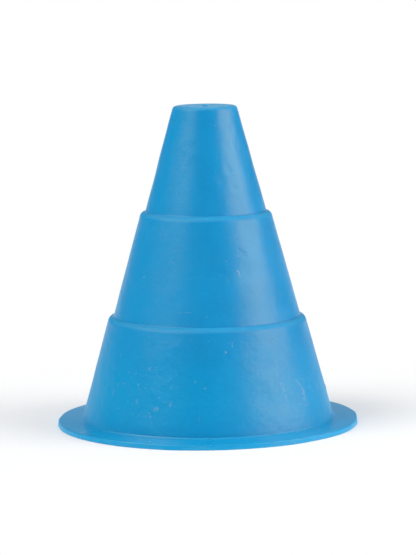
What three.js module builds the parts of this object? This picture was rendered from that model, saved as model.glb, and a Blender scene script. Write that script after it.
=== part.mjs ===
// A small training cone: one thin moulded shell of soft plastic in three tapering tiers, closed by
// a flat top, open underneath so that cones nest, and standing on a flat flange.
// Millimetres, +Z up, with the origin at the centre of the flange's underside.

import * as THREE from 'three';

// Driving dimensions in millimetres and degrees

const coneHeight = 79.8; // from the flange's underside to the flat top
const topRadius = 7.9; // where the top tier's wall meets the plane of the top
const tierCount = 3; // tiers between the flange and the top
const tierHeight = 26.25; // from crease to crease; the lowest tier takes what is left
const wallTaper = 15.35; // lean of every tier's wall from the axis
const wallThickness = 1.2; // square to the skin, the same all over
const topEdgeRadius = 1.05; // rounding between the flat top and the top tier

const shoulderStep = 1.1; // how far a shoulder stands out from the tier above it
const shoulderFall = 0.23; // drop of a shoulder from its crease to its outer corner
const shoulderRadius = 1.4; // rounding of a shoulder's outer corner
const creaseFillet = 0.3; // fillet in the crease between a tier's wall and the shoulder below

const flangeWidth = 6; // from the foot of the lowest wall to the rim
const rimThickness = 1.25; // flange at its rim
const footRise = 0.35; // extra thickness of the flange where it meets the wall
const footFillet = 0.6; // fillet between the lowest wall and the flange
const rimDraft = 0.15; // how much wider the rim is at the underside than at its upper edge
const rimEdgeRadius = 0.3; // rounding of the rim's upper edge
const mouthEdgeRadius = 0.25; // rounding of the hollow's edge at the underside
const leastInsideRadius = 0.2; // sharpest corner that the mould's core leaves inside

const gateRadius = 0.65; // stub that the injection gate leaves on the middle of the top
const gateHeight = 0.3;
const gateEdgeRadius = 0.12;

// Fineness of the facets

const facetsRound = 72; // facets round the axis
const arcStep = 25; // largest turn of a rounded corner in one facet, in degrees

// The colour and finish of the plastic

const plasticColour = 0x2a93cf;
const plasticRoughness = 0.42;

// Values worked out from the sizes above

const taper = THREE.MathUtils.degToRad(wallTaper);
const lean = Math.tan(taper); // growth of the radius for each millimetre down a wall

// A corner of the outline: its distance from the axis, its height and its rounding

function corner(radius, height, rounding = 0) {
  return { point: new THREE.Vector2(radius, height), rounding };
}

// The wall's outer corners from the top's middle down to the foot of the lowest tier

function wallCorners() {
  const corners = [corner(0, coneHeight), corner(topRadius, coneHeight, topEdgeRadius)];
  let radius = topRadius;
  let height = coneHeight;
  for (let tier = 1; tier < tierCount; tier += 1) {
    radius += tierHeight * lean;
    height -= tierHeight;
    corners.push(corner(radius, height, creaseFillet));
    radius += shoulderStep;
    corners.push(corner(radius + shoulderFall * lean, height - shoulderFall, shoulderRadius));
  }
  corners.push(corner(radius + height * lean, 0));
  return corners;
}

// The same corners moved inwards by the wall's thickness, each along its own bisector, with the
// outside roundings smaller by the wall and the inside ones larger by it

function insideCorners(outer) {
  const last = outer.length - 1;
  return outer.map(({ point, rounding }, index) => {
    const before = inwardNormal(outer[Math.max(index - 1, 0)].point, outer[Math.max(index, 1)].point);
    const after = inwardNormal(
      outer[Math.min(index, last - 1)].point,
      outer[Math.min(index + 1, last)].point,
    );
    const bisector = before.clone().add(after).divideScalar(1 + before.dot(after));
    const moved = point.clone().addScaledVector(bisector, wallThickness);
    const turnsOutwards = before.cross(after) > 0;
    const inside = turnsOutwards ? rounding + wallThickness : rounding - wallThickness;
    return corner(moved.x, moved.y, Math.max(inside, leastInsideRadius));
  });
}

// The direction square to the stretch from one point to the next, towards the hollow

function inwardNormal(from, to) {
  const along = to.clone().sub(from).normalize();
  return new THREE.Vector2(along.y, -along.x);
}

// The whole outline of the skin: gate stub, outside of the wall, flange, then back up inside

function skinCorners() {
  const outer = wallCorners();
  const inner = insideCorners(outer);
  const footRadius = outer.at(-1).point.x;
  const mouthRadius = footRadius - wallThickness / Math.cos(taper);
  const flangeTop = rimThickness + footRise;
  const rimRadius = footRadius - rimThickness * lean + flangeWidth;
  return [
    corner(0, coneHeight + gateHeight),
    corner(gateRadius, coneHeight + gateHeight, gateEdgeRadius),
    corner(gateRadius, coneHeight, gateEdgeRadius),
    ...outer.slice(1, -1),
    corner(footRadius - flangeTop * lean, flangeTop, footFillet),
    corner(rimRadius, rimThickness, rimEdgeRadius),
    corner(rimRadius + rimDraft, 0),
    corner(mouthRadius, 0, mouthEdgeRadius),
    ...inner.slice(1, -1).reverse(),
    corner(0, coneHeight - wallThickness),
  ];
}

// The outline with its corners rounded. Where two roundings don't both fit on the stretch between
// them, both shrink alike.

function roundedOutline(corners) {
  const points = corners.map((entry) => entry.point);
  const turns = corners.map((_, index) => turnAt(points, index));
  const reaches = corners.map((entry, index) => entry.rounding * Math.tan(Math.abs(turns[index]) / 2));
  const shares = points.slice(1).map((point, index) => {
    const wanted = reaches[index] + reaches[index + 1];
    return Math.min(1, (0.98 * point.distanceTo(points[index])) / Math.max(wanted, 1e-9));
  });
  return points.flatMap((point, index) => {
    if (reaches[index] === 0) {
      return [point];
    }
    const reach = reaches[index] * Math.min(shares[index - 1], shares[index]);
    return arcPoints(point, points[index - 1], points[index + 1], reach, turns[index]);
  });
}

// How far the outline turns at a corner, in radians, which is nothing at its two ends

function turnAt(points, index) {
  if (index === 0 || index === points.length - 1) {
    return 0;
  }
  const arriving = points[index].clone().sub(points[index - 1]);
  const leaving = points[index + 1].clone().sub(points[index]);
  return Math.atan2(arriving.cross(leaving), arriving.dot(leaving));
}

// The points of the arc that replaces a corner and touches both its sides at the given reach

function arcPoints(point, before, after, reach, turn) {
  const arriving = point.clone().sub(before).normalize();
  const start = point.clone().addScaledVector(arriving, -reach);
  const radius = reach / Math.tan(Math.abs(turn) / 2);
  const toCentre = new THREE.Vector2(-arriving.y, arriving.x).multiplyScalar(Math.sign(turn));
  const centre = start.clone().addScaledVector(toCentre, radius);
  const facets = Math.ceil(Math.abs(turn) / THREE.MathUtils.degToRad(arcStep));
  return Array.from({ length: facets + 1 }, (_, step) =>
    start.clone().rotateAround(centre, (turn * step) / facets),
  );
}

function coneBody() {
  const outline = roundedOutline(skinCorners());
  const geometry = new THREE.LatheGeometry(outline.reverse(), facetsRound);
  geometry.rotateX(Math.PI / 2);
  const material = new THREE.MeshStandardMaterial({
    color: plasticColour,
    roughness: plasticRoughness,
    metalness: 0,
  });
  const mesh = new THREE.Mesh(geometry, material);
  mesh.name = 'cone_body';
  return mesh;
}

const trainingCone = new THREE.Group();
trainingCone.add(coneBody());

export default trainingCone;
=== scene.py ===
import math

import bpy
import numpy as np
from mathutils import Matrix, Vector


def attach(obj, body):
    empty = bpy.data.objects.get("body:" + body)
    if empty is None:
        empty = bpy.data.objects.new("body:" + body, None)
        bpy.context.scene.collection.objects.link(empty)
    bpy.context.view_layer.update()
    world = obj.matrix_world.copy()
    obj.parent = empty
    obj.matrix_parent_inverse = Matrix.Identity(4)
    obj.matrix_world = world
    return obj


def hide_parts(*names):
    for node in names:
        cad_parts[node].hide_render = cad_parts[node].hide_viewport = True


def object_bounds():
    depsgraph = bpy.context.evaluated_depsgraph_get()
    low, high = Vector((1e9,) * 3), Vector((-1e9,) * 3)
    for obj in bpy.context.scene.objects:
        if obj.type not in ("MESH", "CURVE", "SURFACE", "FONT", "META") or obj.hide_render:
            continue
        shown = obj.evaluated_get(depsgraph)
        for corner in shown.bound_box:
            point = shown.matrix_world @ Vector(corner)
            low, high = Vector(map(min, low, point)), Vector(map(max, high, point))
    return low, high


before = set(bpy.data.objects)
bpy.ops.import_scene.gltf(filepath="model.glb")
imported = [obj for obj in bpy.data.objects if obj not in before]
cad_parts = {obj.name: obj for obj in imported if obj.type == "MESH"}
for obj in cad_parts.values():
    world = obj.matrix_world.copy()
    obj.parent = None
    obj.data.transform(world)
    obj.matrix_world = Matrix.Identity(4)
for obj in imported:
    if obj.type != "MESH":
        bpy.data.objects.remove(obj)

# A small training cone of soft blue plastic, standing on a pale floor in soft studio light.
# Everything is in metres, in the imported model's frame: +Z up, the origin at the centre of the
# flange's underside, and -Y towards the camera.

cad_low, cad_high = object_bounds()

MILLIMETRES = 1000  # in a metre

# The cone's own sizes in metres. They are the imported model's, apart from the shoulders, which
# fall and round a little more, and the rim's lower edge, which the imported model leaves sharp.

GATE_RADIUS = 0.00065  # the stub that the injection gate leaves on the middle of the top
GATE_HEIGHT = 0.0003
GATE_EDGE = 0.00012
TOP_RADIUS = 0.0079
TIERS = 3
TIER_HEIGHT = 0.02625  # from crease to crease
WALL_TAPER = math.radians(15.35)
WALL_THICKNESS = 0.0012
TOP_EDGE = 0.00105
SHOULDER_STEP = 0.0011  # how far a shoulder stands out from the tier above it
SHOULDER_FALL = 0.00035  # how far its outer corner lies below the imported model's crease
SHOULDER_LIFT = 0.0001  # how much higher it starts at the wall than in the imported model
SHOULDER_EDGE = 0.0016
CREASE_FILLET = 0.0003
RIM_THICKNESS = 0.00125
RIM_DRAFT = 0.00015  # how much wider the rim is at the floor than at its upper edge
RIM_EDGE = 0.0003
RIM_LOWER_EDGE = 0.00008
FOOT_RISE = 0.00035  # extra thickness of the flange where it meets the wall
FOOT_FILLET = 0.0006
MOUTH_EDGE = 0.00025
LEAST_INSIDE_EDGE = 0.0002  # the sharpest corner that the mould's core leaves inside

CONE_HEIGHT = cad_high.z - GATE_HEIGHT
RIM_RADIUS = cad_high.x - RIM_DRAFT
LEAN = math.tan(WALL_TAPER)
MIDDLE = Vector((0, 0, CONE_HEIGHT / 2))

# Fineness of the visible mesh

FACETS_ROUND = 600
ARC_STEP = math.radians(7)
LONGEST_STEP = 0.0005

# How uneven the moulding is

WALL_WAVE = 0.000018  # how far the wall waves in and out
WALL_WAVE_LENGTH = 0.007
WALL_WAVE_FULL = 0.004  # height at which the waves have grown to their full size
TOP_CALM = (0.003, 0.001)  # depths below the top between which the waves and the tilt fade
SIDEWAYS_LEAN = 0.0028  # the cone leans towards +X on its flange, by this much of its height
SIDEWAYS_TILT = 0.0048  # its shoulders fall towards +X, by this much of the way across
TILT_GROWS = (0.004, 0.024)  # heights between which the tilt grows to its full size
RIM_WAVE = 0.00005  # how far the rim waves in and out
RIM_WAVE_LENGTH = 0.011
RIM_NICK = 0.00003  # how deep its small nicks are
RIM_NICK_LENGTH = 0.0016
RIM_RAGGED = (0.003, 0.0003)  # distances from the rim between which it turns ragged

# Dents in the wall: bearing in degrees, then height, radius and depth in millimetres. A bearing is
# the angle round the axis from the camera's side, positive to the camera's right. The last one
# has a negative depth, so it is a nib that stands out.

DENTS = (
    (30, 76.2, 1.2, 0.080),
    (44, 74.0, 1.0, 0.110),
    (50, 70.6, 1.0, 0.090),
    (31, 70.6, 1.3, 0.070),
    (28, 64.6, 1.0, 0.100),
    (15, 62.6, 1.3, 0.070),
    (33, 60.4, 1.1, 0.070),
    (-18, 70.3, 1.0, 0.050),
    (37, 46.4, 2.0, 0.060),
    (28, 40.0, 1.8, 0.060),
    (46, 34.0, 2.2, 0.060),
    (24, 22.0, 2.0, 0.060),
    (34, 18.0, 2.4, 0.100),
    (27, 11.0, 2.4, 0.090),
    (45, 9.0, 3.0, 0.090),
    (91, 8.4, 0.45, -0.120),
)

# Marks of use that are plain to see: bearing, height, length, slant, width and strength. Bearings
# and slants are in degrees, and heights, lengths and widths in millimetres. A slant leans the
# mark's top to the camera's right.

PALE_MARKS = (
    (9, 77.4, 0.0, 0, 0.16, 0.30),
    (11, 75.7, 0.0, 0, 0.20, 0.35),
    (18, 75.4, 0.1, 0, 0.20, 0.35),
    (19, 74.0, 0.0, 0, 0.22, 0.50),
    (16, 67.8, 0.1, 0, 0.16, 0.30),
    (16, 62.4, 1.5, -15, 0.9, 0.06),
    (22, 52.6, 0.2, 80, 0.16, 0.35),
    (-2, 46.6, 0.2, 60, 0.14, 0.25),
    (15, 43.0, 0.2, 0, 0.18, 0.38),
    (10, 39.7, 0.2, 0, 0.16, 0.45),
    (23, 40.6, 0.8, -60, 0.18, 0.36),
    (24, 39.8, 0.8, -15, 0.18, 0.55),
    (25, 44.2, 0.2, 0, 0.18, 0.60),
    (-49, 39.0, 0.3, 0, 0.26, 0.90),
    (-54, 48.1, 0.2, 0, 0.18, 0.45),
    (-37, 37.6, 0.2, 40, 0.17, 0.35),
    (-11, 39.1, 2.6, 82, 0.12, 0.08),
    (-3, 39.4, 2.6, 92, 0.12, 0.08),
    (5, 38.9, 2.6, 104, 0.12, 0.08),
    (-14, 31.0, 3.4, 90, 0.12, 0.22),
    (0, 30.1, 0.0, 0, 0.15, 0.35),
    (2, 30.6, 0.0, 0, 0.15, 0.35),
    (10, 21.7, 0.2, 0, 0.24, 0.60),
    (14, 23.5, 1.0, 5, 0.14, 0.35),
    (16, 20.2, 0.0, 0, 0.18, 0.40),
    (-1, 13.4, 0.2, 80, 0.20, 0.50),
    (-6, 15.0, 0.5, 10, 0.16, 0.35),
    (-4, 6.4, 1.2, 15, 0.13, 0.25),
    (-18, 13.6, 1.2, 10, 0.14, 0.30),
    (-18, 9.7, 0.6, 30, 0.60, 0.20),
    (-25, 8.2, 0.5, 60, 0.75, 0.20),
    (-31, 17.8, 0.8, 60, 0.24, 0.24),
    (-31, 17.4, 0.0, 0, 0.50, 0.16),
    (-36, 9.6, 0.7, 5, 0.50, 0.18),
    (-28, 6.8, 1.4, -35, 0.18, 0.24),
    (-34, 12.0, 0.9, 12, 0.14, 0.24),
    (-50, 13.2, 0.6, 20, 0.16, 0.28),
    (-57, 16.5, 0.5, 10, 0.16, 0.26),
    (-44, 4.6, 0.3, 0, 0.16, 0.34),
    (-47, 7.4, 0.0, 0, 0.20, 0.55),
    (-53, 10.8, 1.2, 15, 0.18, 0.38),
    (-53, 20.0, 0.7, 0, 0.18, 0.30),
    (-60, 11.8, 0.9, 25, 0.18, 0.35),
    (-72, 12.3, 1.4, 12, 0.20, 0.25),
    (38, 17.4, 3.0, 5, 1.3, 0.05),
    (33, 12.5, 4.0, 5, 1.1, 0.04),
    (38, 7.4, 1.6, 80, 1.9, 0.06),
    (39, 13.2, 0.5, 50, 0.34, 0.24),
    (40, 11.9, 1.5, -25, 0.22, 0.34),
    (40, 10.6, 1.0, 0, 0.16, 0.26),
    (41, 9.6, 1.6, -12, 0.20, 0.32),
    (51, 12.8, 1.9, -45, 0.17, 0.38),
    (53, 11.4, 1.2, -20, 0.22, 0.40),
    (54, 10.6, 0.7, -10, 0.44, 0.55),
    (53, 9.4, 2.2, 5, 0.26, 0.44),
    (54, 9.2, 1.8, -12, 0.19, 0.38),
    (53, 7.4, 1.2, 5, 0.15, 0.28),
    (55, 7.8, 1.3, -30, 0.16, 0.30),
    (54, 7.2, 0.9, -85, 0.14, 0.26),
    (56, 13.0, 0.5, 30, 0.30, 0.16),
    (61, 12.6, 1.0, 5, 0.22, 0.32),
    (60, 11.3, 0.4, 20, 0.24, 0.28),
    (63, 15.0, 1.6, 4, 0.14, 0.18),
    (68, 12.0, 1.2, -8, 0.16, 0.24),
    (68, 10.7, 1.0, -5, 0.22, 0.32),
    (36, 12.2, 0.9, -4, 0.14, 0.22),
    (46, 6.2, 0.8, -60, 0.14, 0.20),
)

DARK_MARKS = (
    (-21, 70.6, 2.2, 0, 0.24, 0.5),
    (-11, 70.0, 1.6, 85, 0.20, 0.3),
    (37, 75.0, 0.9, 70, 0.16, 0.6),
    (42, 74.3, 0.9, 40, 0.16, 0.5),
    (46, 73.0, 1.2, -35, 0.16, 0.4),
    (31, 73.2, 0.7, -50, 0.14, 0.4),
    (32, 64.2, 0.9, 8, 0.24, 0.8),
    (34, 63.2, 0.8, -70, 0.18, 0.5),
    (34, 60.4, 0.9, -62, 0.24, 0.8),
    (25, 61.6, 0.8, 20, 0.16, 0.4),
    (29, 45.2, 2.0, -65, 0.45, 0.8),
    (30, 44.1, 1.2, -75, 0.24, 0.8),
    (16, 38.2, 1.0, -10, 0.30, 0.9),
    (-24, 43.4, 0.5, 0, 0.36, 0.9),
    (-22, 46.4, 0.5, 70, 0.24, 0.9),
    (-33, 36.9, 0.6, 0, 0.22, 0.6),
    (-24, 33.9, 0.9, 0, 0.32, 0.9),
)

# The photograph's frame in pixels, and the camera fitted to the cone's outline in it

PHOTO_WIDTH = 416
PHOTO_HEIGHT = 555
MIDDLE_PIXEL_X = 206.05  # where the middle of the cone's axis falls
MIDDLE_PIXEL_Y = 264.8
CAMERA_DISTANCE = 0.7006
CAMERA_ELEVATION = math.radians(7.32)
CAMERA_ROLL = math.radians(0.78)
CAMERA_LENS = 181.5  # millimetres
SENSOR = 36.0  # millimetres, along the frame's long side

# The studio. A softbox has its azimuth and elevation in degrees, its distance, width and height
# in metres, and its brightness as the cone sees it, where 1 is white.

SOFTBOXES = {
    "right_softbox": (75, 24, 1.2, 0.96, 0.72, 4.5),
    "left_softbox": (-64, 46, 1.5, 1.1, 0.9, 4.45),
    "overhead_softbox": (180, 84, 1.5, 2.8, 2.8, 0.78),
    "right_rear_softbox": (115, 42, 1.5, 1.6, 1.2, 0.25),
}
FILL_LIGHT = 0.06  # even light from all round, where 1 is white
BACKDROP_LIGHT = 1.0  # the backdrop in reflections
BACKDROP_SIDES = (0.90, 0.98)  # how far back a reflection has to point to meet the backdrop
BACKDROP_RISE = (0.14, 0.27)  # where the backdrop ends upwards
FLOOR_REACH = 12.0  # from the middle to each edge
FLOOR_TURNS_PLAIN = (0.032, 0.12)  # distances from the middle between which it turns plain white


def unit(vector):
    return vector / np.linalg.norm(vector)


def cross(first, second):
    """The cross product of two flat vectors, which is positive for a turn to the left."""
    return first[0] * second[1] - first[1] * second[0]


# The outline of the skin: corners with a rounding each, joined into one line of fine points


def wall_corners():
    """The wall's outer corners, from the top's middle down to the floor."""
    corners = [(0, CONE_HEIGHT, 0), (TOP_RADIUS, CONE_HEIGHT, TOP_EDGE)]
    radius, height = TOP_RADIUS, CONE_HEIGHT
    for _ in range(TIERS - 1):
        radius += TIER_HEIGHT * LEAN
        height -= TIER_HEIGHT
        lifted = height + SHOULDER_LIFT
        corners.append((radius - SHOULDER_LIFT * LEAN, lifted, CREASE_FILLET))
        radius += SHOULDER_STEP
        corners.append((radius + SHOULDER_FALL * LEAN, height - SHOULDER_FALL, SHOULDER_EDGE))
    corners.append((radius + height * LEAN, 0, 0))
    return corners


def inward(start, end):
    """The direction square to a stretch of the outline, towards the hollow."""
    along = unit(np.subtract(end, start))
    return np.array([along[1], -along[0]])


def inside_corners(outer):
    """The wall's inside corners between its two ends, a wall's thickness in from the outside."""
    corners = []
    for before, here, after in zip(outer, outer[1:], outer[2:]):
        first = inward(before[:2], here[:2])
        second = inward(here[:2], after[:2])
        moved = here[:2] + WALL_THICKNESS * (first + second) / (1 + first @ second)
        turns_outwards = cross(first, second) > 0
        rounding = here[2] + (WALL_THICKNESS if turns_outwards else -WALL_THICKNESS)
        corners.append((*moved, max(rounding, LEAST_INSIDE_EDGE)))
    return corners


def skin_corners():
    """Every corner of the skin, from the gate stub down the outside and back up inside."""
    outer = wall_corners()
    foot = outer[-1][0]
    mouth = foot - WALL_THICKNESS / math.cos(WALL_TAPER)
    flange_top = RIM_THICKNESS + FOOT_RISE
    return [
        (0, CONE_HEIGHT + GATE_HEIGHT, 0),
        (GATE_RADIUS, CONE_HEIGHT + GATE_HEIGHT, GATE_EDGE),
        (GATE_RADIUS, CONE_HEIGHT, GATE_EDGE),
        *outer[1:-1],
        (foot - flange_top * LEAN, flange_top, FOOT_FILLET),
        (RIM_RADIUS, RIM_THICKNESS, RIM_EDGE),
        (RIM_RADIUS + RIM_DRAFT, 0, RIM_LOWER_EDGE),
        (mouth, 0, MOUTH_EDGE),
        *reversed(inside_corners(outer)),
        (0, CONE_HEIGHT - WALL_THICKNESS, 0),
    ]


def rounded(before, here, after):
    """The arc that rounds one corner, as points."""
    point, rounding = np.array(here[:2]), here[2]
    arriving = unit(point - before[:2])
    leaving = unit(after[:2] - point)
    turn = math.atan2(cross(arriving, leaving), arriving @ leaving)
    start = point - arriving * rounding * math.tan(abs(turn) / 2)
    centre = start + math.copysign(rounding, turn) * np.array([-arriving[1], arriving[0]])
    count = max(2, math.ceil(abs(turn) / ARC_STEP))
    spoke = start - centre
    return [
        centre + np.array([
            spoke[0] * math.cos(angle) - spoke[1] * math.sin(angle),
            spoke[0] * math.sin(angle) + spoke[1] * math.cos(angle),
        ])
        for angle in np.linspace(0, turn, count + 1)
    ]


def skin_outline():
    """The skin's outline with its corners rounded and its straights cut into short steps."""
    corners = skin_corners()
    rough = [np.array(corners[0][:2])]
    for before, here, after in zip(corners, corners[1:], corners[2:]):
        rough += rounded(before, here, after)
    rough.append(np.array(corners[-1][:2]))
    fine = [rough[0]]
    for start, end in zip(rough, rough[1:]):
        steps = math.ceil(np.linalg.norm(end - start) / LONGEST_STEP)
        fine += [start + (end - start) * step / steps for step in range(1, steps + 1)]
    return np.array(fine)


# The mesh: the outline turned round the axis, with the moulding's small unevenness


def wavy(points, length, seed, waves=32):
    """Smooth noise about 0 with a root mean square of 1, its waves about the length given."""
    random = np.random.default_rng(seed)
    directions = random.normal(size=(waves, 3))
    directions /= np.linalg.norm(directions, axis=1)[:, None]
    lengths = length * random.uniform(0.7, 1.6, waves)
    phases = random.uniform(0, 2 * math.pi, waves)
    angles = points @ (directions / lengths[:, None]).T * 2 * math.pi + phases
    return np.sin(angles).sum(1) / math.sqrt(waves / 2)


def smooth_step(value, low, high):
    share = np.clip((value - low) / (high - low), 0, 1)
    return share * share * (3 - 2 * share)


def turned(outline):
    """The rings of points between the outline's two ends, and the way out of the skin at each."""
    inner = outline[1:-1]
    along = outline[2:] - outline[:-2]
    along /= np.linalg.norm(along, axis=1)[:, None]
    angles = np.linspace(0, 2 * math.pi, FACETS_ROUND, endpoint=False)
    across = np.stack([np.cos(angles), np.sin(angles), np.zeros(FACETS_ROUND)], axis=1)
    up = np.array([0.0, 0.0, 1.0])
    rings = inner[:, None, :1] * across + inner[:, None, 1:] * up
    outward = -along[:, None, 1:] * across + along[:, None, :1] * up
    return rings.reshape(-1, 3), outward.reshape(-1, 3)


def uneven(points, outward):
    """The moulding's waves and dents on the wall, the rim's ragged edge, and the cone's lean."""
    radius = np.hypot(points[:, 0], points[:, 1])
    above_flange = smooth_step(points[:, 2], RIM_THICKNESS + FOOT_RISE, WALL_WAVE_FULL)
    calm_start, calm_end = (CONE_HEIGHT - depth for depth in TOP_CALM)
    below_top = 1 - smooth_step(points[:, 2], calm_start, calm_end)
    wave = wavy(points, WALL_WAVE_LENGTH, seed=3) * WALL_WAVE
    pushed = wave * above_flange * below_top
    for bearing, height, width, depth in DENTS:
        angle = math.radians(bearing)
        across = points[:, 0] * math.cos(angle) + points[:, 1] * math.sin(angle)
        in_front = points[:, 0] * math.sin(angle) - points[:, 1] * math.cos(angle) > 0
        above = points[:, 2] - height / MILLIMETRES
        far = np.hypot(across, above) * MILLIMETRES / width
        pushed -= in_front * depth / MILLIMETRES * np.exp(-far ** 2)
    moved = points + outward * pushed[:, None]
    ragged_start, ragged_end = (RIM_RADIUS - distance for distance in RIM_RAGGED)
    at_rim = smooth_step(radius, ragged_start, ragged_end)
    ragged = wavy(points, RIM_WAVE_LENGTH, seed=7) * RIM_WAVE
    ragged += np.minimum(wavy(points, RIM_NICK_LENGTH, seed=11), 0) * RIM_NICK
    moved[:, :2] *= (1 + at_rim * (ragged - RIM_WAVE) / radius)[:, None]
    moved[:, 0] += SIDEWAYS_LEAN * np.maximum(points[:, 2] - RIM_THICKNESS, 0)
    grown = smooth_step(points[:, 2], *TILT_GROWS)
    moved[:, 2] -= SIDEWAYS_TILT * points[:, 0] * grown * below_top
    return moved


def skin_mesh():
    """The skin as a mesh of quads, closed at its two ends on the axis by triangles."""
    outline = skin_outline()
    points, outward = turned(outline)
    points = uneven(points, outward)
    rings = len(outline) - 2
    top = len(points)
    inside_top = top + 1
    ends = [(0, 0, outline[0][1]), (0, 0, outline[-1][1])]
    here = np.arange(FACETS_ROUND)
    beside = (here + 1) % FACETS_ROUND
    quads = []
    for ring in range(rings - 1):
        row = ring * FACETS_ROUND
        below = row + FACETS_ROUND
        quads.append(np.stack([row + here, below + here, below + beside, row + beside], axis=1))
    faces = [tuple(face) for face in np.concatenate(quads).tolist()]
    last = (rings - 1) * FACETS_ROUND
    faces += [(top, int(a), int(b)) for a, b in zip(here, beside)]
    faces += [(inside_top, int(last + b), int(last + a)) for a, b in zip(here, beside)]
    mesh = bpy.data.meshes.new("cone_skin")
    mesh.from_pydata(points.tolist() + ends, [], faces)
    mesh.shade_smooth()
    return mesh


# Materials


class Graph:
    """A node tree that is built up one node at a time."""

    def __init__(self, tree):
        self.tree = tree
        tree.nodes.clear()

    def add(self, kind, values=(), **settings):
        """A node with its settings, and a value or another node's output for each input given."""
        made = self.tree.nodes.new(kind)
        for name, value in settings.items():
            setattr(made, name, value)
        for name, value in dict(values).items():
            socket = made.inputs[name]
            if isinstance(value, bpy.types.NodeSocket):
                self.tree.links.new(value, socket)
            else:
                socket.default_value = value
        return made

    def math(self, operation, first, second=0.0, third=0.0, clamp=False):
        values = {0: first, 1: second, 2: third}
        return self.add("ShaderNodeMath", values, operation=operation, use_clamp=clamp).outputs[0]

    def times(self, first, *others):
        """The product of two or more values."""
        for other in others:
            first = self.math("MULTIPLY", first, other)
        return first

    def vector(self, operation, first, second=(0, 0, 0)):
        values = {0: first, 1: second}
        return self.add("ShaderNodeVectorMath", values, operation=operation).outputs["Vector"]

    def noise(self, place, period, detail=2.0, roughness=0.5, distortion=0.0):
        """Soft noise from 0 to 1, its features about a period apart."""
        return self.add("ShaderNodeTexNoise", {
            "Vector": place, "Scale": 1 / period, "Detail": detail,
            "Roughness": roughness, "Distortion": distortion,
        }).outputs[0]

    def ramp(self, value, start, end, first=0.0, last=1.0):
        """A smooth change from first to last as the value goes from start to end."""
        return self.add("ShaderNodeMapRange", {
            "Value": value, "From Min": start, "From Max": end, "To Min": first, "To Max": last,
        }, interpolation_type="SMOOTHSTEP").outputs["Result"]

    def mix(self, share, first, second):
        """Two colours mixed by a share."""
        values = {0: share, 6: first, 7: second}
        return self.add("ShaderNodeMix", values, data_type="RGBA", clamp_factor=True).outputs[2]


def srgb(red, green, blue):
    """A colour written in 0 to 255 steps, in the linear values that Blender takes."""
    shares = [value / 255 for value in (red, green, blue)]
    return (*[s / 12.92 if s <= 0.04045 else ((s + 0.055) / 1.055) ** 2.4 for s in shares], 1)


def new_material(name):
    material = bpy.data.materials.new(name)
    material.use_nodes = True
    return material, Graph(material.node_tree)


# The plastic's colours

BLUE_SHADES = (srgb(3, 143, 203), srgb(6, 149, 209))  # the plain plastic varies between the two
# painted light: paler towards the camera's left, in front and behind
LEFT_LIGHT_BLUE = srgb(6, 156, 215)
MARKED_BLUE = srgb(2, 126, 188)
# painted bounce light: paler low down, more so on the left
FOOT_BOUNCE_BLUE = srgb(7, 161, 216)
# painted light on the faces that look up: shoulders, flange and top
UPWARD_LIGHT_BLUE = srgb(11, 152, 206)
# painted light on the rim's outer face
RIM_LIGHT_BLUE = srgb(20, 169, 227)
# painted light on the gate stub, whose face lies in shade
GATE_LIGHT_BLUE = srgb(24, 170, 222)
# painted shade: a dark line along the creases, stronger towards the camera's right
CREASE_SHADE_BLUE = srgb(1, 124, 190)
# pale dust, and painted sheen where the film follows the highlights
PALE_DUST_AND_SHEEN = srgb(196, 190, 205)
GLOSS_TINT = (1.0, 0.76, 0.22, 1.0)  # of reflections that are seen straight on

# The settings of its finish. Noise has the distance between its features in millimetres, and then
# its detail, roughness and distortion. A zone, side, slope, reach or edge has the two values
# between which a change happens, and then its two amounts where they aren't 0 and 1. A zone's are
# heights in millimetres, a side's are bearings in degrees or degrees away from one, a slope's are
# how far the skin faces up, where 1 is straight up, a reach's are distances in millimetres, and
# an edge's are shares.

FLANGE_ZONE = (2.4, 1.7)
TOP_ZONE = (79.4, 79.75)
CREASE_LINES = (53.73, 27.48)  # where the creases run, as heights in millimetres; painted shade lies along them

SHADE_NOISE = (9.0, 5, 0.62, 0.4)
SHADE_EDGE = (0.32, 0.68)
# Where the painted light lies, and the painted shade along the creases
LEFT_LIGHT_SIDE = (-2.0, -26.0, 0.0, 0.65)
BOUNCE_ZONE = (26.0, 6.0)
BOUNCE_SIDE = (10.0, -30.0, 0.5, 0.9)
UPWARD_LIGHT_SLOPE = (0.40, 0.85)
RIM_ZONE = (1.20, 0.95)
GATE_ZONE = (79.82, 79.88)
CREASE_REACH = (0.22, 0.08)
CREASE_SIDE = (0.0, 50.0, 0.15, 0.6)

# The film of dust: clouds and slanting wipes, broken up finely. It lies thickest where the highlights
# fall and thinnest where the cone looks darkest, so it is partly painted sheen.

CLOUD_NOISE = (5.0, 7, 0.70, 0.8)
CLOUD_EDGE = (0.44, 0.62)
CLOUD_SHARE = 0.55
WIPE_TURN = 0.057  # radians round the axis for each millimetre of height
WIPE_STRETCH = 4.0  # how much longer than wide the wipes are
WIPE_NOISE = (1.6, 5, 0.70, 0.6)
WIPE_EDGE = (0.47, 0.62)
WIPE_SHARE = 0.45
FINE_NOISE = (0.55, 3, 0.75)
FINE_EDGE = (0.38, 0.64, 0.0, 2.2)
FILM_ZONE = (27.0, 12.0, 1.0, 0.2)  # thinner low down
FRONT_THIN_SIDE = (9.0, 26.0, 0.12, 1.0)  # thin round the bearing of 0, which faces the camera
THIN_BEARING = -62.0
THIN_SIDE = (8.0, 24.0, 0.25, 1.0)  # thin round that bearing
# thick where the right highlight falls on the lowest tier, as painted sheen
THICK_SIDE_START = (14.0, 26.0)
THICK_SIDE_END = (62.0, 48.0)
THICK_ZONE = (29.0, 24.0, 0.0, 1.6)
# thinner on the left of the middle tier, where the highlight is weaker
LEFT_THIN_SIDE = (-6.0, -18.0)
LEFT_THIN_ZONE = (50.0, 42.0, 0.0, 0.45)

# Specks: spacing and largest radius in millimetres, and the share of places that have one. A
# scuffed patch: bearing and height of its middle, and its reach across and up in millimetres.

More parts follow.
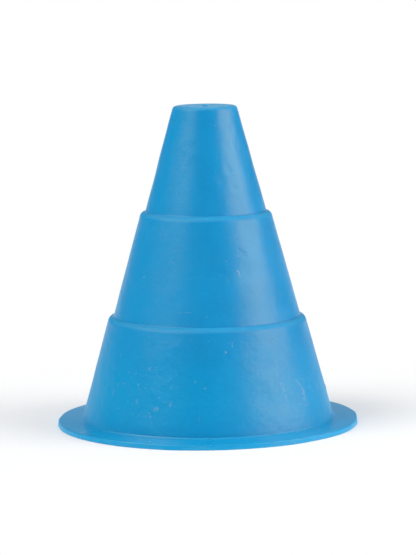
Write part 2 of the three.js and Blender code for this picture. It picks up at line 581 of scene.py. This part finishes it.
DOTS = (1.3, 0.20, 0.45)
DOT_ZONE = (34.0, 24.0, 0.45, 1.0)
LEFT_PATCH = (-37, 12, 15, 11)
RIGHT_PATCH = (52, 11, 9, 6)
SCUFF_DOTS = (0.85, 0.26, 0.6)
SCUFF_STROKES = (0.9, 0.20, 0.45)
STROKE_STRETCH = 4.0  # how much higher than wide the strokes are
SMALLEST_SPECK = 0.3  # of the largest one's radius
PATCH_NOISE = (2.5, 3, 0.6)
PATCH_RAGGEDNESS = 1.2
SOFT_EDGE = (1.0, 0.35)
HAZE_NOISE = (1.3, 5, 0.72, 0.5)
HAZE_EDGE = (0.48, 0.68)

# The placed marks: how ragged, how broken and how soft they are

MARK_RAGGEDNESS = 0.5
MARK_RAGGED_UP = (0.35, 2)
MARK_RAGGED_ASIDE = (0.9, 2)
MARK_BROKEN_NOISE = (0.45, 2, 0.7)
MARK_BROKEN_EDGE = (0.42, 0.58, 0.10, 1.0)
MARK_EDGE = (1.0, 0.3)

# How strongly each layer shows in the colour

FILM_STRENGTH = 0.034
DOT_STRENGTH = 0.26
HAZE_STRENGTH = 0.022
PALE_STRENGTH = 0.9
DARK_STRENGTH = 0.75

# Roughness, and what each thing adds to it

ROUGHNESS = 0.31
ROUGHNESS_NOISE = (4.0, 4, 0.6, 0.3)
ROUGHNESS_VARIATION = 0.10
FILM_ROUGHNESS = 0.05
DARK_ROUGHNESS = 0.25
FLANGE_ROUGHNESS = -0.05
HANDLED_ZONE = (27.0, 16.0)
HANDLED_MIDDLE_SIDE = (-8.0, 22.0, -0.06, 0.06)
HANDLED_LEFT_SIDE = (-50.0, -70.0, 0.0, 0.14)
SHOULDER_SLOPE = (0.30, 0.50)
SHOULDER_CREASE_REACH = (0.16, 0.32)
SHOULDER_ROUGHNESS = 0.22

# Relief, in millimetres

TURNING_NOISE = (0.55, 3, 0.6)
TURNING_STRETCH = 50.0  # how much longer than high the turning lines are
TURNING_PATCH_NOISE = (9.0, 2)
TURNING_PATCH_EDGE = (0.35, 0.65, 0.25, 1.0)
TURNING_ZONE = (58.0, 64.0, 0.010, 0.034)
GRAIN_NOISE = (0.7, 3, 0.6)
GRAIN_RELIEF = 0.020
PEEL_NOISE = (2.6, 2, 0.5)
PEEL_ZONE = (30.0, 22.0, 0.07, 0.13)
RING_HEIGHT = 4.6  # a faint ridge that runs round the lowest wall
RING_REACH = (0.45, 0.0)
RING_BEARING = 90.0
RING_SIDE = (40.0, 70.0, 0.020, 0.0)
DARK_RELIEF = -0.06
FLAT_SMOOTHING = -0.85  # change of the relief on the flange and the top


class Skin:
    """The places on the skin that the finish depends on, all in millimetres and degrees.

    The folded bearing is the bearing in front and mirrors it behind, so that nothing that grows
    towards one side ends in a seam at the back.
    """

    def __init__(self, graph):
        self.graph = graph
        place = graph.add("ShaderNodeTexCoord").outputs["Object"]
        self.point = graph.vector("MULTIPLY", place, (MILLIMETRES, MILLIMETRES, MILLIMETRES))
        x, y, self.height = graph.add("ShaderNodeSeparateXYZ", {0: self.point}).outputs
        angle = graph.math("ARCTAN2", x, graph.times(y, -1.0))
        self.bearing = graph.times(angle, 180 / math.pi)
        self.radius = graph.math("SQRT", graph.math("ADD", graph.times(x, x), graph.times(y, y)))
        sideways = graph.math("DIVIDE", x, self.radius)
        self.folded_bearing = graph.math("DEGREES", graph.math("ARCSINE", sideways))
        normal = graph.add("ShaderNodeNewGeometry").outputs["Normal"]
        self.facing_up = graph.add("ShaderNodeSeparateXYZ", {0: normal}).outputs["Z"]
        self.on_flange = graph.ramp(self.height, *FLANGE_ZONE)
        self.flat = graph.math("MAXIMUM", self.on_flange, graph.ramp(self.height, *TOP_ZONE))
        untilted_height = graph.math("MULTIPLY_ADD", x, SIDEWAYS_TILT, self.height)
        self.off_crease = graph.math("MINIMUM", *(
            graph.math("ABSOLUTE", graph.math("SUBTRACT", untilted_height, middle))
            for middle in CREASE_LINES
        ))

    def off_bearing(self, bearing):
        """How far from a bearing a point lies, in degrees."""
        return self.graph.math("ABSOLUTE", self.graph.math("SUBTRACT", self.bearing, bearing))


def slanting(graph, skin):
    """Places that turn round the axis with the height, so that noise on them runs slantwise."""
    angle = graph.times(skin.height, -WIPE_TURN)
    turned_place = graph.add("ShaderNodeVectorRotate", {"Vector": skin.point, "Angle": angle},
                             rotation_type="Z_AXIS").outputs[0]
    return graph.vector("MULTIPLY", turned_place, (1, 1, 1 / WIPE_STRETCH))


def dust_film_and_sheen(graph, skin):
    """The thin pale film that handling and dust leave, as a share of its usual thickness; it follows
    where the highlights fall, so it is partly painted sheen.
    """
    clouds = graph.ramp(graph.noise(skin.point, *CLOUD_NOISE), *CLOUD_EDGE)
    wipes = graph.ramp(graph.noise(slanting(graph, skin), *WIPE_NOISE), *WIPE_EDGE)
    either = graph.math("ADD", graph.times(clouds, CLOUD_SHARE), graph.times(wipes, WIPE_SHARE))
    fine = graph.ramp(graph.noise(skin.point, *FINE_NOISE), *FINE_EDGE)
    front_thin = graph.ramp(skin.off_bearing(0.0), *FRONT_THIN_SIDE)
    thin = graph.ramp(skin.off_bearing(THIN_BEARING), *THIN_SIDE)
    thick = graph.times(graph.ramp(skin.bearing, *THICK_SIDE_START),
                        graph.ramp(skin.bearing, *THICK_SIDE_END),
                        graph.ramp(skin.height, *THICK_ZONE))
    left_thin = graph.times(graph.ramp(skin.folded_bearing, *LEFT_THIN_SIDE),
                        graph.ramp(skin.height, *LEFT_THIN_ZONE))
    by_height = graph.math("MAXIMUM", graph.ramp(skin.height, *FILM_ZONE), thick)
    by_height = graph.times(by_height, graph.math("SUBTRACT", 1.0, left_thin))
    return graph.times(either, fine, graph.times(front_thin, thin, by_height))


def patch(graph, skin, bearing, height, across, up):
    """A soft ragged patch on the wall, from its middle and its reach in millimetres."""
    turn = graph.math("RADIANS", graph.math("SUBTRACT", skin.bearing, bearing))
    aside = graph.math("DIVIDE", graph.times(turn, skin.radius), across)
    above = graph.math("DIVIDE", graph.math("SUBTRACT", skin.height, height), up)
    square = graph.math("MULTIPLY_ADD", aside, aside, graph.times(above, above))
    ragged = graph.math("MULTIPLY_ADD", graph.noise(skin.point, *PATCH_NOISE),
                        PATCH_RAGGEDNESS, -PATCH_RAGGEDNESS / 2)
    return graph.ramp(graph.math("ADD", graph.math("SQRT", square), ragged), *SOFT_EDGE)


def specks(graph, place, spacing, size, share):
    """Small dots at random: 1 in a dot and 0 between them."""
    cells = graph.add("ShaderNodeTexVoronoi", {"Vector": place, "Scale": 1 / spacing}).outputs
    distance = graph.times(cells["Distance"], spacing)
    chance, largeness, _ = graph.add("ShaderNodeSeparateColor", {0: cells["Color"]}).outputs
    radius = graph.math("MULTIPLY_ADD", largeness, size * (1 - SMALLEST_SPECK), size * SMALLEST_SPECK)
    dot = graph.ramp(graph.math("DIVIDE", distance, radius), *SOFT_EDGE)
    return graph.times(dot, graph.math("LESS_THAN", chance, share))


def mark_group():
    """A node group that is 1 on one mark, a stroke with round ends, and 0 away from it."""
    tree = bpy.data.node_groups.new("mark", "ShaderNodeTree")
    names = ("Bearing", "Height", "Radius", "At Bearing", "At Height", "Length", "Slant", "Width")
    for name in names:
        tree.interface.new_socket(name=name, in_out="INPUT", socket_type="NodeSocketFloat")
    tree.interface.new_socket(name="Mark", in_out="OUTPUT", socket_type="NodeSocketFloat")
    graph = Graph(tree)
    given = graph.add("NodeGroupInput").outputs
    turn = graph.math("RADIANS", graph.math("SUBTRACT", given["Bearing"], given["At Bearing"]))
    right = graph.times(turn, given["Radius"])
    up = graph.math("SUBTRACT", given["Height"], given["At Height"])
    slant = graph.math("RADIANS", given["Slant"])
    cosine, sine = graph.math("COSINE", slant), graph.math("SINE", slant)
    along = graph.math("MULTIPLY_ADD", up, cosine, graph.times(right, sine))
    aside = graph.math("SUBTRACT", graph.times(right, cosine), graph.times(up, sine))
    beyond = graph.math("MULTIPLY_ADD", given["Length"], -0.5, graph.math("ABSOLUTE", along))
    beyond = graph.math("MAXIMUM", beyond, 0.0)
    square = graph.math("MULTIPLY_ADD", beyond, beyond, graph.times(aside, aside))
    distance = graph.math("SQRT", square)
    mark = graph.ramp(graph.math("DIVIDE", distance, given["Width"]), *MARK_EDGE)
    graph.add("NodeGroupOutput", {"Mark": mark})
    return tree


def placed_marks(graph, skin, marks, group):
    """The strongest of the placed marks at a point, with ragged edges."""
    height_noise = graph.noise(skin.point, *MARK_RAGGED_UP)
    rough_height = graph.math("MULTIPLY_ADD", height_noise, MARK_RAGGEDNESS, skin.height)
    rough_height = graph.math("SUBTRACT", rough_height, MARK_RAGGEDNESS / 2)
    wobble = graph.math("MULTIPLY_ADD", graph.noise(skin.point, *MARK_RAGGED_ASIDE),
                        MARK_RAGGEDNESS, -MARK_RAGGEDNESS / 2)
    rough_bearing = graph.math("ADD", skin.bearing,
                               graph.math("DEGREES", graph.math("DIVIDE", wobble, skin.radius)))
    broken = graph.ramp(graph.noise(skin.point, *MARK_BROKEN_NOISE), *MARK_BROKEN_EDGE)
    strongest = None
    for bearing, height, length, slant, width, strength in marks:
        made = graph.add("ShaderNodeGroup", {
            "Bearing": rough_bearing, "Height": rough_height, "Radius": skin.radius,
            "At Bearing": bearing, "At Height": height,
            "Length": length, "Slant": slant, "Width": width,
        }, node_tree=group)
        this = graph.times(made.outputs["Mark"], strength)
        strongest = this if strongest is None else graph.math("MAXIMUM", strongest, this)
    return graph.times(strongest, broken)


def plain_colour(graph, skin, dark):
    """The plastic's colour under the dust, with its dark marks, painted light on the left, low down,
    on the faces that look up, on the rim and on the gate stub, and painted shade along the creases.
    """
    # painted bounce light low down, more so on the left
    foot = graph.times(graph.ramp(skin.height, *BOUNCE_ZONE),
                       graph.ramp(skin.folded_bearing, *BOUNCE_SIDE))
    # painted shade along the creases, stronger towards the camera's right
    crease = graph.times(graph.ramp(skin.off_crease, *CREASE_REACH),
                         graph.ramp(skin.folded_bearing, *CREASE_SIDE))
    shade = graph.ramp(graph.noise(skin.point, *SHADE_NOISE), *SHADE_EDGE)
    colour = graph.mix(shade, *BLUE_SHADES)
    # painted light on the left, low down, on the faces that look up, on the rim and on the gate stub,
    # and painted shade along the creases; the dark marks are marks of use
    for share, over in (
        (graph.ramp(skin.folded_bearing, *LEFT_LIGHT_SIDE), LEFT_LIGHT_BLUE),
        (graph.times(dark, DARK_STRENGTH), MARKED_BLUE),
        (foot, FOOT_BOUNCE_BLUE),
        (graph.ramp(skin.facing_up, *UPWARD_LIGHT_SLOPE), UPWARD_LIGHT_BLUE),
        (graph.ramp(skin.height, *RIM_ZONE), RIM_LIGHT_BLUE),
        (graph.ramp(skin.height, *GATE_ZONE), GATE_LIGHT_BLUE),
        (crease, CREASE_SHADE_BLUE),
    ):
        colour = graph.mix(share, colour, over)
    return colour


def dust_and_sheen_colour(graph, skin, colour, film, pale):
    """A colour with the film of dust, the dots, the two scuffed patches and the pale marks on it; the
    film is partly painted sheen.
    """
    scuffed = graph.math("MAXIMUM", patch(graph, skin, *LEFT_PATCH),
                         patch(graph, skin, *RIGHT_PATCH))
    standing = graph.vector("MULTIPLY", skin.point, (1, 1, 1 / STROKE_STRETCH))
    scuffs = graph.math("MAXIMUM", specks(graph, skin.point, *SCUFF_DOTS),
                        specks(graph, standing, *SCUFF_STROKES))
    dots = graph.times(specks(graph, skin.point, *DOTS), graph.ramp(skin.height, *DOT_ZONE))
    dots = graph.math("MAXIMUM", dots, graph.times(scuffs, scuffed))
    haze = graph.times(graph.ramp(graph.noise(skin.point, *HAZE_NOISE), *HAZE_EDGE), scuffed)
    for layer, strength in (
        (film, FILM_STRENGTH),
        (dots, DOT_STRENGTH),
        (haze, HAZE_STRENGTH),
        (pale, PALE_STRENGTH),
    ):
        colour = graph.mix(graph.times(layer, strength), colour, PALE_DUST_AND_SHEEN)
    return colour


def roughness(graph, skin, film, dark):
    """Satin, rougher on the shoulders and in the dark marks, and uneven low down from handling."""
    handled = graph.math("ADD", graph.ramp(skin.folded_bearing, *HANDLED_MIDDLE_SIDE),
                         graph.ramp(skin.folded_bearing, *HANDLED_LEFT_SIDE))
    shoulder = graph.times(graph.ramp(skin.facing_up, *SHOULDER_SLOPE),
                           graph.math("SUBTRACT", 1.0, skin.flat),
                           graph.ramp(skin.off_crease, *SHOULDER_CREASE_REACH))
    rough = graph.math("MULTIPLY_ADD", graph.noise(skin.point, *ROUGHNESS_NOISE),
                       ROUGHNESS_VARIATION, ROUGHNESS)
    for share, added in (
        (film, FILM_ROUGHNESS),
        (dark, DARK_ROUGHNESS),
        (graph.ramp(skin.height, *HANDLED_ZONE), handled),
        (skin.on_flange, FLANGE_ROUGHNESS),
        (shoulder, SHOULDER_ROUGHNESS),
    ):
        rough = graph.math("MULTIPLY_ADD", share, added, rough)
    return rough


def relief(graph, skin, dark):
    """The fine relief: turning lines, grain, a wavy skin, a faint ring and the dark marks."""
    across = 1 / TURNING_STRETCH
    squeezed = graph.vector("MULTIPLY", skin.point, (across, across, 1.0))
    lines = graph.times(
        graph.noise(squeezed, *TURNING_NOISE),
        graph.ramp(graph.noise(skin.point, *TURNING_PATCH_NOISE), *TURNING_PATCH_EDGE),
        graph.ramp(skin.height, *TURNING_ZONE),
    )
    grain = graph.times(graph.noise(skin.point, *GRAIN_NOISE), GRAIN_RELIEF)
    peel = graph.times(graph.noise(skin.point, *PEEL_NOISE), graph.ramp(skin.height, *PEEL_ZONE))
    off_ring = graph.math("ABSOLUTE", graph.math("SUBTRACT", skin.height, RING_HEIGHT))
    ring = graph.times(graph.ramp(off_ring, *RING_REACH),
                       graph.ramp(skin.off_bearing(RING_BEARING), *RING_SIDE))
    height = lines
    for more in (grain, peel, ring):
        height = graph.math("ADD", height, more)
    height = graph.math("MULTIPLY_ADD", dark, DARK_RELIEF, height)
    return graph.times(height, graph.math("MULTIPLY_ADD", skin.flat, FLAT_SMOOTHING, 1.0))


def plastic_material():
    material, graph = new_material("soft_blue_plastic")
    skin = Skin(graph)
    group = mark_group()
    pale = placed_marks(graph, skin, PALE_MARKS, group)
    dark = placed_marks(graph, skin, DARK_MARKS, group)
    film = graph.times(dust_film_and_sheen(graph, skin), graph.math("SUBTRACT", 1.0, dark))
    bump = graph.add("ShaderNodeBump", {
        "Strength": 1.0, "Distance": 1 / MILLIMETRES, "Height": relief(graph, skin, dark),
    })
    surface = graph.add("ShaderNodeBsdfPrincipled", {
        "Base Color": dust_and_sheen_colour(graph, skin, plain_colour(graph, skin, dark), film, pale),
        "Roughness": roughness(graph, skin, film, dark),
        "IOR": 1.5,
        "Specular Tint": GLOSS_TINT,
        "Normal": bump.outputs["Normal"],
    })
    graph.add("ShaderNodeOutputMaterial", {"Surface": surface.outputs["BSDF"]})
    return material


def floor_material():
    """White and matt. Away from the cone it turns into plain white, so that no horizon shows."""
    material, graph = new_material("pale_floor")
    matt = graph.add("ShaderNodeBsdfDiffuse", {"Color": (0.9, 0.9, 0.9, 1)})
    plain = graph.add("ShaderNodeEmission", {"Color": (1, 1, 1, 1), "Strength": 1.0})
    place = graph.add("ShaderNodeNewGeometry").outputs["Position"]
    distance = graph.add("ShaderNodeVectorMath", {0: place}, operation="LENGTH").outputs["Value"]
    rays = graph.add("ShaderNodeLightPath").outputs
    seen = graph.math("ADD", rays["Is Camera Ray"], rays["Is Glossy Ray"], clamp=True)
    seen = graph.math("ADD", seen, rays["Is Transmission Ray"], clamp=True)
    share = graph.times(graph.ramp(distance, *FLOOR_TURNS_PLAIN), seen)
    mix = graph.add("ShaderNodeMixShader", {
        0: share, 1: matt.outputs["BSDF"], 2: plain.outputs["Emission"],
    })
    graph.add("ShaderNodeOutputMaterial", {"Surface": mix.outputs["Shader"]})
    return material


# The stage: floor, light and camera


def add_floor():
    mesh = bpy.data.meshes.new("floor")
    reach = FLOOR_REACH
    corners = [(-reach, -reach, 0), (reach, -reach, 0), (reach, reach, 0), (-reach, reach, 0)]
    mesh.from_pydata(corners, [], [(0, 1, 2, 3)])
    floor = bpy.data.objects.new("floor", mesh)
    mesh.materials.append(floor_material())
    bpy.context.scene.collection.objects.link(floor)


def direction(azimuth, elevation):
    """The way from the cone to a lamp: azimuth 0 is towards the camera, 90 to its right."""
    a, e = math.radians(azimuth), math.radians(elevation)
    return Vector((math.sin(a) * math.cos(e), -math.cos(a) * math.cos(e), math.sin(e)))


def add_softbox(name, azimuth, elevation, distance, width, height, brightness):
    """A soft lamp that faces the cone and that the camera doesn't see."""
    lamp = bpy.data.lights.new(name, "AREA")
    lamp.shape = "RECTANGLE"
    lamp.size = width
    lamp.size_y = height
    lamp.energy = brightness * math.pi * width * height
    box = bpy.data.objects.new(name, lamp)
    away = direction(azimuth, elevation)
    box.location = MIDDLE + away * distance
    box.rotation_euler = away.to_track_quat("Z", "Y").to_euler()
    box.visible_camera = False
    bpy.context.scene.collection.objects.link(box)


def studio_world():
    """White to the camera, pale low down behind the cone to reflections, and dim for the rest."""
    world = bpy.data.worlds.new("studio")
    world.use_nodes = True
    graph = Graph(world.node_tree)
    way = graph.add("ShaderNodeTexCoord").outputs["Generated"]
    _, back, rise = graph.add("ShaderNodeSeparateXYZ", {0: way}).outputs
    behind = graph.ramp(back, *BACKDROP_SIDES)
    low_down = graph.ramp(rise, *BACKDROP_RISE, 1.0, 0.0)
    backdrop = graph.times(behind, low_down, BACKDROP_LIGHT)
    rays = graph.add("ShaderNodeLightPath").outputs
    mirrored = graph.math("ADD", rays["Is Glossy Ray"], rays["Is Transmission Ray"], clamp=True)
    seen = graph.math("MULTIPLY_ADD", mirrored, backdrop, rays["Is Camera Ray"], clamp=True)
    strength = graph.math("MULTIPLY_ADD", seen, 1 - FILL_LIGHT, FILL_LIGHT)
    background = graph.add("ShaderNodeBackground", {"Color": (1, 1, 1, 1), "Strength": strength})
    graph.add("ShaderNodeOutputWorld", {"Surface": background.outputs["Background"]})
    return world


def add_camera():
    """The photograph's camera: the middle of the cone's axis falls on its own pixel."""
    camera = bpy.data.cameras.new("camera")
    camera.lens = CAMERA_LENS
    camera.sensor_width = SENSOR
    camera.clip_end = 100
    holder = bpy.data.objects.new("camera", camera)
    level_right = Vector((1, 0, 0))
    ahead = Vector((0, math.cos(CAMERA_ELEVATION), -math.sin(CAMERA_ELEVATION)))
    level_up = level_right.cross(ahead)
    right = level_right * math.cos(CAMERA_ROLL) - level_up * math.sin(CAMERA_ROLL)
    up = level_right * math.sin(CAMERA_ROLL) + level_up * math.cos(CAMERA_ROLL)
    pixel = SENSOR / PHOTO_HEIGHT / CAMERA_LENS
    aim = ahead - right * (MIDDLE_PIXEL_X - PHOTO_WIDTH / 2) * pixel
    aim -= up * (PHOTO_HEIGHT / 2 - MIDDLE_PIXEL_Y) * pixel
    aim.normalize()
    side = aim.cross(up).normalized()
    turn = Matrix((side, side.cross(aim), -aim)).transposed()
    holder.matrix_world = Matrix.Translation(MIDDLE - ahead * CAMERA_DISTANCE) @ turn.to_4x4()
    bpy.context.scene.collection.objects.link(holder)
    bpy.context.scene.camera = holder


add_camera()
add_floor()
for name, settings in SOFTBOXES.items():
    add_softbox(name, *settings)
bpy.context.scene.world = studio_world()

cone = bpy.data.objects.new("cone_skin", skin_mesh())
cone.data.materials.append(plastic_material())
bpy.context.scene.collection.objects.link(cone)
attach(cone, "root")
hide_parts("cone_body")

bpy.context.scene.view_settings.view_transform = "Standard"
